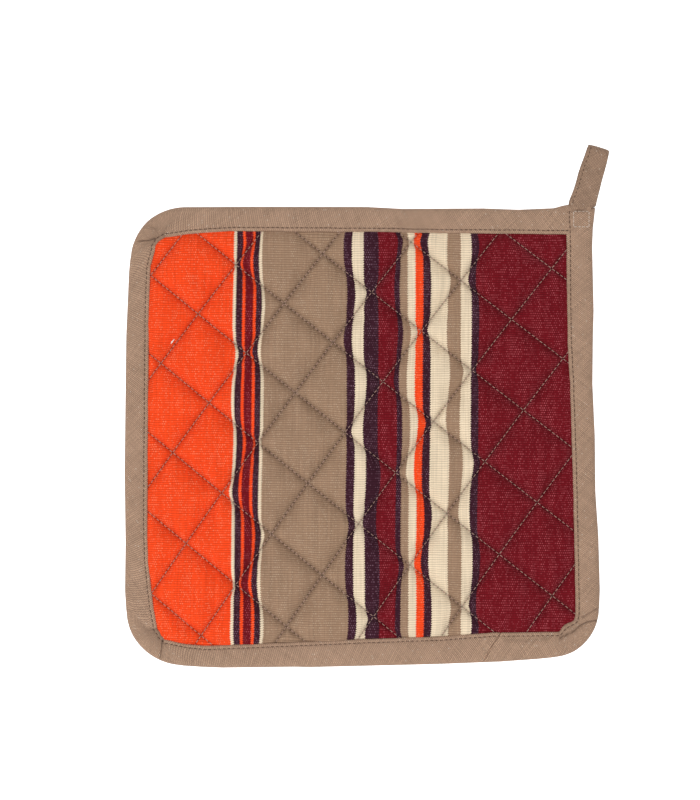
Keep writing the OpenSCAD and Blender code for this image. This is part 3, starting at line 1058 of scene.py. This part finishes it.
class POTHOLDER_OT_wadding(bpy.types.Operator):
    """Fill the pad with cotton wadding"""
    bl_idname = "potholder.wadding"
    bl_label = "Wadding"

    def execute(self, context):
        pad, quilt, tape = context.scene.ph_pad, context.scene.ph_quilt, context.scene.ph_tape
        edge = Edge(pad)
        bm = quilted_sheet(pad, quilt, edge, WADDING_FINENESS)
        raised = bmesh.ops.extrude_face_region(bm, geom=bm.faces[:])["geom"]
        _, steps, depth = sheet_arrays(bm, edge)
        raised = {part for part in raised if isinstance(part, bmesh.types.BMVert)}
        for vert, top in zip(bm.verts, puffed_heights(steps, depth, quilt) - WADDING_GAP):
            vert.co.z = top if vert in raised else 2 * MID - top
        bmesh.ops.recalc_face_normals(bm, faces=bm.faces)
        piece = add_piece("cotton_wadding", bm, cotton_wool("matted_cotton", tape.wadding))
        on_pad(piece, "wadding")
        return {"FINISHED"}


# The front half of the folded tape: millimetres out from its inner fold, and up from the pressed
# margin. Past FACE_START it is drawn out to the tape's width, and then it rolls over the edge.
TAPE_FOLD = ((2.8, 0.12), (1.4, 0.08), (0.4, 0.08), (0.04, 0.28), (0.0, 0.46), (0.12, 0.62), (0.45, 0.76),
             (0.8, 0.72), (1.05, 0.56), (1.25, 0.5), (1.5, 0.6), (1.9, 0.78), (2.5, 0.9), (3.1, 0.96),
             (3.7, 1.0), (4.3, 1.02), (4.9, 1.02), (5.5, 1.0), (6.1, 0.97), (6.7, 0.91), (7.3, 0.82))
FACE_START = 1.5
ROLL = 2.3 * MM
ROLL_TURNS = (66, 50, 36, 24, 12, 0)
# Creases in the binding's face: points in millimetres, then depth and width
CREASES = (
    (((-94.0, 82.3), (-90, 82.6), (-87.4, 83.5)), 0.9, 0.6),
    (((-91.5, 88.2), (-86.8, 87.6)), 0.35, 0.8),
    (((-84.4, -87.6), (-85.2, -94.5)), 0.7, 0.6),
    (((84.6, -86.4), (90.4, -83.6), (93.0, -81.2), (96.1, -79.6), (100.4, -78.9)), 0.9, 0.5),
    (((94.2, -77.5), (100.3, -73.7)), 0.5, 0.5),
    (((62.0, -87.2), (72.0, -87.6), (80.0, -86.4)), 0.4, 0.9),
    (((88.6, 95.3), (92.5, 94.9), (95.9, 95.0), (98.0, 95.8), (99.6, 97.0)), 0.8, 0.5),
)


def tape_profile(edge):
    """The whole folded tape at one place: how far in from the outside, and how high.
    It runs from inside the front fold, round the pad's edge, to inside the back fold."""
    margin = TAPE_TOP - PRESSED
    crown = TAPE_TOP + 0.02 * MM - MID

    def at(along):
        inner, outer = edge.inner(along), edge.outer(along)
        spread = ((inner + outer) / MM - FACE_START) / (edge.tape / MM - FACE_START)
        half = []
        for out, up in TAPE_FOLD:
            if out > FACE_START:
                out = FACE_START + (out - FACE_START) * spread
            half.append((inner - out * MM, margin + up * MM - MID))
        for turn in ROLL_TURNS:
            angle = math.radians(turn)
            half.append((ROLL * (1 - math.cos(angle)) - outer, crown * math.sin(angle)))
        back = [(inset, -0.95 * up) for inset, up in reversed(half[:-1:2])]
        return half + back
    return at


def crease_depth(x, y):
    """How far the creases press the binding's face down at a place."""
    return max(deep * bell(gap_to_line(line, x, y), wide) for line, deep, wide in CREASES) * MM


# Steps along the tape: close together at its ends, and finer round the corners, where it creases
END_MARKS = np.array((0, 0.15, 0.3, 0.5, 0.75, 1.1, 1.6)) * MM
END_RUN = 2.2 * MM
FINE_STEP, PLAIN_STEP = 0.45 * MM, 0.85 * MM
# Where round the edge the fold is ruffled, and how far to each side, in millimetres
RUFFLE, RUFFLE_REACH = 566, 8


def tape_strip(name, edge, start_at, end_at, material, pressed):
    """A length of binding wrapped round the pad's edge. start_at and end_at give where it starts
    and ends round the edge, at each distance in. Its ends dip by the two depths in pressed."""
    profile = tape_profile(edge)
    rows = len(profile(0)) - 1
    length = end_at(0) - start_at(0)
    between = [END_RUN]
    while between[-1] < length - END_RUN - 0.4 * MM:
        along = start_at(0) + between[-1]
        finer = along > edge.length - 8 * MM or any(
            kind == "corner" and start - 4 * MM < along < start + run + 14 * MM
            for kind, _, start, run in edge.stretches)
        between.append(between[-1] + (FINE_STEP if finer else PLAIN_STEP))
    marks = np.concatenate((END_MARKS, between, length - END_MARKS[::-1])) / length
    middle = (start_at(0) + end_at(0)) / 2
    widths = [0]
    for (a, b), (c, d) in zip(profile(middle), profile(middle)[1:]):
        widths.append(widths[-1] + math.hypot(c - a, d - b))

    def place(column, row):
        share = marks[column]
        inset = profile(start_at(0) + length * share)[row][0]
        along = start_at(inset) + (end_at(inset) - start_at(inset)) * share
        inset, up = profile(along)[row]
        x, y = edge.place(along, inset)[0]
        uneven = 0.05 + 0.1 * bell(along / MM - RUFFLE, RUFFLE_REACH)
        up *= 1 + uneven * noise.noise(Vector((along / MM / 3, widths[row] / MM / 5, 1.5)))
        dip = sum(deep * bell(gap, 0.36 * MM)
                  for deep, gap in zip(pressed, (share * length, (1 - share) * length)))
        up = math.copysign(abs(up) - dip * MM * smooth_step(abs(up) / MM), up)
        creased = crease_depth(x, y) if up > 0 else 0
        return (x, y, MID + up - creased), (along / MM, widths[row] / MM, creased / MM)

    bm = laid_grid(len(marks) - 1, rows, place, ("weave",))
    faces_up = sum(face.normal.z * face.calc_area() for face in bm.faces
                   if face.calc_center_median().z > TAPE_TOP - 0.3 * MM)
    if faces_up < 0:
        bmesh.ops.reverse_faces(bm, faces=bm.faces)
    return add_piece(name, bm, material)


class POTHOLDER_OT_binding(bpy.types.Operator):
    """Wrap the two lengths of bias binding round the pad's edge"""
    bl_idname = "potholder.binding"
    bl_label = "Binding"

    def execute(self, context):
        pad, tape = context.scene.ph_pad, context.scene.ph_tape
        edge = Edge(pad)
        material = bias_tape("bias_cotton", tape)
        bottom = next(stretch for stretch in edge.stretches if stretch[:2] == ("side", 2))
        join = bottom[2] + (pad.join - edge.side_start(2, 0)[0])
        slant = 1 / math.tan(math.radians(59))

        def start(inset):
            return 0.5 * MM

        def before_join(inset):
            return join + inset * slant - 0.12 * MM

        def after_join(inset):
            return join + inset * slant + 0.12 * MM

        def end(inset):
            return edge.length - 1.1 * MM + 1.6 * MM * float(smooth_step((3.4 - inset / MM) / 4))

        lengths = (("binding_long", start, before_join, (0, 0.9)),
                   ("binding_short", after_join, end, (0.9, 1.3)))
        for node, start_at, end_at, pressed in lengths:
            piece = tape_strip(node + "_tape", edge, start_at, end_at, material, pressed)
            if node == "binding_short":
                # Its end lies over the long one's, by the tape's thickness
                for vert in piece.data.vertices:
                    over = float(smooth_step((vert.co.y - 82 * MM) / (4 * MM)))
                    vert.co.z += math.copysign(over * 0.42 * MM, vert.co.z - MID)
            thicken(piece, pad.tape_thickness)
            on_pad(piece, node)
        return {"FINISHED"}


# ------ the hanging loop

# The strap's middle seen from its side, from inside the binding up to the tip's bend:
# millimetres past the line it flexes about, and up from the pad's middle
STRAP_SIDE = ((-6.5, 1.5), (-5, 1.82), (-3.6, 2.0), (-1.8, 1.95), (0, 1.85), (2, 1.85), (4.5, 2.0),
              (7, 2.4), (9.5, 2.8), (12, 3.0), (14.8, 3.0), (17.6, 3.0))
# How far past that line the loop's tip lies
TIP_REACH = 24.4 * MM
# How far the strap's middle lies to the right of the joint
STRAP_SHIFT = 0.95 * MM
SEAM_INSET = 1.3 * MM
# The fold where the loop leans over, just past the box stitch: points, depth and width
ROOT_CREASE = (((87.4, 95.4), (92.5, 94.9), (95.9, 95.0), (98.0, 95.8), (100.4, 97.6)), 0.9 * MM, 0.5)


class Strap:
    """The loop's strap: a folded tape that runs out along its front and back along its underside."""

    def __init__(self, tape):
        self.flex = Vector(frame["joints"][0]["pos_m"])
        self.tape = tape
        bend = TIP_TOP - MID - tape.strap_thickness / 2
        reach = TIP_REACH - bend - tape.strap_thickness / 2
        front = [Vector((a * MM, b * MM)) for a, b in STRAP_SIDE if a * MM < reach]
        turn = [Vector((reach + bend * math.sin(t), bend * math.cos(t)))
                for t in np.linspace(0, math.pi, 13)]
        under = [Vector((a.x, -a.y)) for a in reversed(front)]
        self.line = front + turn + under
        self.gone = [0]
        for a, b in zip(self.line, self.line[1:]):
            self.gone.append(self.gone[-1] + (b - a).length)

    def side(self, along):
        """The point of the strap's middle line, and the way out of its face, seen from the side."""
        k = int(np.clip(np.searchsorted(self.gone, along), 1, len(self.line) - 1))
        share = (along - self.gone[k - 1]) / (self.gone[k] - self.gone[k - 1])
        a, b = self.line[k - 1], self.line[k]
        before = self.line[max(0, k - 2)]
        after = self.line[min(len(self.line) - 1, k + 1)]
        run = (b - before).normalized().lerp((after - a).normalized(), share)
        return a.lerp(b, share), Vector((-run.y, run.x)).normalized()

    def place(self, along, across, out):
        """A point on the strap: along its line, across its width, and out of its middle."""
        point, way = self.side(along)
        point = point + way * out
        past = point.x / MM
        lean = self.tape.lean * float(smooth_step((past + 3.6) / 4))
        # A soft strap wavers a little along its length
        across += 0.25 * MM * noise.noise(Vector((past / 9, 4.4, 0)))
        # It is wider at its root, narrow where the binding hides it, and narrower at its tip
        right = across > 0
        across *= 1 + 0.09 * float(smooth_step((4 - past) / 8))
        if right:
            across *= 1 + 0.11 * float(smooth_step((11 - past) / 11))
        across *= 1 - 0.24 * float(smooth_step(((-0.7 if right else -1.9) - past) / 1.3))
        across *= 1 - 0.09 * float(smooth_step((past - 12) / 12))
        across += STRAP_SHIFT
        x = self.flex.x + across * math.cos(lean) + point.x * math.sin(lean)
        y = self.flex.y - across * math.sin(lean) + point.x * math.cos(lean)
        return Vector((x, y, self.flex.z + point.y))


class POTHOLDER_OT_loop(bpy.types.Operator):
    """Fold the hanging loop, sew its edge, and sew its end down behind the corner"""
    bl_idname = "potholder.loop"
    bl_label = "Hanging Loop"

    def execute(self, context):
        tape = context.scene.ph_tape
        strap = Strap(tape)
        # The loop is the binding's cotton, darkened by painted shade
        material = bias_tape("handled_bias_cotton", tape, painted_dimming=0.8)
        total = strap.gone[-1]
        columns, around = round(total / (0.5 * MM)), 28
        half_w, half_t = tape.strap / 2, tape.strap_thickness / 2

        def place(column, row):
            along = total * column / columns
            turn = 2 * math.pi * row / around
            # A flat tape with rounded folds, thinner along its stitched side
            across = blunt(math.cos(turn), 0.45) * half_w
            out = blunt(math.sin(turn), 0.7) * half_t
            out *= 1 - 0.3 * bell(across + half_w - SEAM_INSET, 0.5 * MM)
            return strap.place(along, across, out), (along / MM, across / MM * (1 if out >= 0 else -1), 0)

        bm = laid_grid(columns, around, place, ("weave",))
        bmesh.ops.remove_doubles(bm, verts=bm.verts, dist=0.001 * MM)
        bmesh.ops.holes_fill(bm, edges=[e for e in bm.edges if e.is_boundary], sides=0)
        bmesh.ops.recalc_face_normals(bm, faces=bm.faces)
        line, deep, wide = ROOT_CREASE
        for vert in bm.verts:
            if vert.co.z > MID:
                vert.co.z -= deep * bell(gap_to_line(line, vert.co.x, vert.co.y), wide)
        piece = add_piece("hanging_loop_strap", bm, material)
        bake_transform(piece)
        stand_in("hanging_loop")

        # The row keeps clear of the strap's two buried ends
        places = []
        clear = 4.5 * MM
        count = round((total - 2 * clear) / (2.0 * MM))
        for k in range(count):
            along = clear + (k + 0.5) * (total - 2 * clear) / count
            side_x = SEAM_INSET - half_w
            point = strap.place(along, side_x, half_t * 0.72)
            ahead = strap.place(along + 0.3 * MM, side_x, half_t * 0.72)
            out = strap.place(along, side_x, half_t * 2)
            places.append((point, ahead - point, out - point))
        row = stitch_row("loop_edge_stitches", places, 1.6 * MM, 0.34 * MM,
                         thread_cotton("dark_sewing_thread", tape.edge_thread))
        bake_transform(row)
        stand_in("loop_edge_stitch")

        low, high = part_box("loop_tail")
        bm = bmesh.new()
        bmesh.ops.create_cube(bm, size=1)
        middle, spread = (low + high) / 2, high - low
        bmesh.ops.scale(bm, vec=(spread.x, spread.y + 1.6 * MM, spread.z), verts=bm.verts)
        bmesh.ops.translate(bm, vec=middle + Vector((0, 0.8 * MM, 0)), verts=bm.verts)
        bmesh.ops.subdivide_edges(bm, edges=[e for e in bm.edges if e.calc_length() > 2 * MM], cuts=15,
                                  use_grid_fill=True)
        rims = [e for e in bm.edges if e.calc_face_angle(0) > 1]
        bmesh.ops.bevel(bm, geom=rims, offset=0.3 * MM, offset_type="OFFSET", segments=3, profile=0.5,
                        affect="EDGES", material=-1, clamp_overlap=True)
        weave = bm.verts.layers.float_vector.new("weave")
        for vert in bm.verts:
            vert[weave] = (vert.co.x / MM, vert.co.y / MM, 0)
            if vert.co.z < middle.z:
                vert.co.z += 0.12 * MM * noise.noise(vert.co * 300)
        bmesh.ops.recalc_face_normals(bm, faces=bm.faces)
        tail = add_piece("loop_tail_tape", bm, material)
        on_pad(tail, "loop_tail")
        return {"FINISHED"}


# ------ rows of stitches

class POTHOLDER_OT_quilting(bpy.types.Operator):
    """Sew every quilting line, its needle thread on the front and its bobbin thread on the back"""
    bl_idname = "potholder.quilting"
    bl_label = "Quilting Stitches"

    def execute(self, context):
        pad, quilt, tape = context.scene.ph_pad, context.scene.ph_quilt, context.scene.ph_tape
        edge, lines = Edge(pad), Quilting(quilt)
        outline = edge.panel_outline()
        material = thread_cotton("fine_quilting_thread", tape.thread)
        faces = {"needle": (surface_of("striped_front"), 1), "bobbin": (surface_of("striped_back"), -1)}
        marks = (np.arange(2 * STEPS * quilt.stitches) + 0.5) / quilt.stitches - STEPS
        for family in ("fall", "rise"):
            for number in range(-LAST_LINE, LAST_LINE + 1):
                fixed = np.full(len(marks), number)
                pair = (marks, fixed) if family == "fall" else (fixed, marks)
                points = np.array([lines.place(m, n) for m, n in zip(*pair)])
                shown = depth_inside(points, outline) > -0.6 * MM
                # The rising lines were sewn last and lie over the falling ones
                rise = 0.08 * MM if family == "fall" else 0.12 * MM
                for thread, (surface, up) in faces.items():
                    node = f"{thread}_thread_{family}_{number + LAST_LINE + 1}"
                    places = self.sew(points, shown, surface, up, rise)
                    row = stitch_row(node.replace("thread", "stitches"), places,
                                     1.62 * MM, 0.31 * MM, material)
                    on_pad(row, node)
        return {"FINISHED"}

    def sew(self, points, shown, surface, up, rise):
        """The stitches' places along a line, lying on the surface and raised off it."""
        bed = MID + up * (LINE_BED - MID)
        places = []
        for k in np.nonzero(shown)[0]:
            along = points[min(k + 1, len(points) - 1)] - points[k - 1]
            step = 0.5 * np.linalg.norm(along)
            ahead = along / (2 * step) * 0.6 * MM
            heights = [height_on(surface, *(points[k] + side * ahead), bed, up) for side in (-1, 1)]
            point = Vector((*points[k], sum(heights) / 2 + up * rise))
            places.append((point, (*(2 * ahead), heights[1] - heights[0]), (0, 0, up)))
        return places


class POTHOLDER_OT_edge_stitches(bpy.types.Operator):
    """Topstitch the binding and box-stitch the corner, on both faces"""
    bl_idname = "potholder.edge_stitches"
    bl_label = "Edge Stitches"

    def execute(self, context):
        pad, tape = context.scene.ph_pad, context.scene.ph_tape
        edge = Edge(pad)
        dark = thread_cotton("dark_sewing_thread", tape.edge_thread)
        pale = thread_cotton("pale_sewing_thread", tape.pale_thread)
        rows = edge.walk(lambda along: edge.inner(along) - 1.15 * MM, 9 * MM, edge.length - 0.6 * MM,
                         2.05 * MM)
        low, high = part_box("box_stitch_front")
        corners = [Vector(spot)
                   for spot in ((low.x, low.y), (high.x, low.y), (high.x, high.y), (low.x, high.y))]
        for side, up in (("front", 1), ("back", -1)):
            names = ["binding_long_tape", "binding_short_tape"] + ["loop_tail_tape"] * (up < 0)
            surfaces = [surface_of(name) for name in names]
            places = [self.spot(surfaces, point, way, up, 0.11 * MM) for point, way, _ in rows]
            row = stitch_row("topstitches_" + side, places, 1.5 * MM, 0.38 * MM, dark)
            on_pad(row, "topstitch_" + side)
            places = [self.spot(surfaces, a.lerp(b, (k + 0.5) / 4), b - a, up, 0.12 * MM)
                      for a, b in zip(corners, corners[1:] + corners[:1]) for k in range(4)]
            box = stitch_row("box_stitches_" + side, places, 1.35 * MM, 0.36 * MM, pale)
            on_pad(box, "box_stitch_" + side)
        return {"FINISHED"}

    def spot(self, surfaces, point, way, up, rise):
        """A stitch's place on the outermost of the surfaces, raised off it."""
        level = MID + up * (TAPE_TOP - MID)
        height = up * max(up * height_on(surface, *point, level, up) for surface in surfaces)
        return (*point, height + up * rise), (*way, 0), (0, 0, up)


class POTHOLDER_PT_panel(bpy.types.Panel):
    """The steps that build the pot holder, in order"""
    bl_idname = "POTHOLDER_PT_panel"
    bl_label = "Pot Holder"
    bl_space_type = "VIEW_3D"
    bl_region_type = "UI"
    bl_category = "Pot Holder"

    def draw(self, context):
        for step in STEP_OPERATORS:
            self.layout.operator(step.bl_idname)
        for name, settings in SETTINGS.items():
            box = self.layout.box()
            for key in settings.__annotations__:
                box.prop(getattr(context.scene, name), key)


STEP_OPERATORS = (POTHOLDER_OT_stage, POTHOLDER_OT_covers, POTHOLDER_OT_wadding, POTHOLDER_OT_binding,
                  POTHOLDER_OT_loop, POTHOLDER_OT_quilting, POTHOLDER_OT_edge_stitches)


def register():
    for name, settings in SETTINGS.items():
        bpy.utils.register_class(settings)
        setattr(bpy.types.Scene, name, PointerProperty(type=settings))
    for step in STEP_OPERATORS:
        bpy.utils.register_class(step)
    bpy.utils.register_class(POTHOLDER_PT_panel)


def unregister():
    bpy.utils.unregister_class(POTHOLDER_PT_panel)
    for step in reversed(STEP_OPERATORS):
        bpy.utils.unregister_class(step)
    for name, settings in reversed(SETTINGS.items()):
        delattr(bpy.types.Scene, name)
        bpy.utils.unregister_class(settings)


def main():
    register()
    for step in STEP_OPERATORS:
        family, name = step.bl_idname.split(".")
        getattr(getattr(bpy.ops, family), name)()


if __name__ == "__main__":
    main()
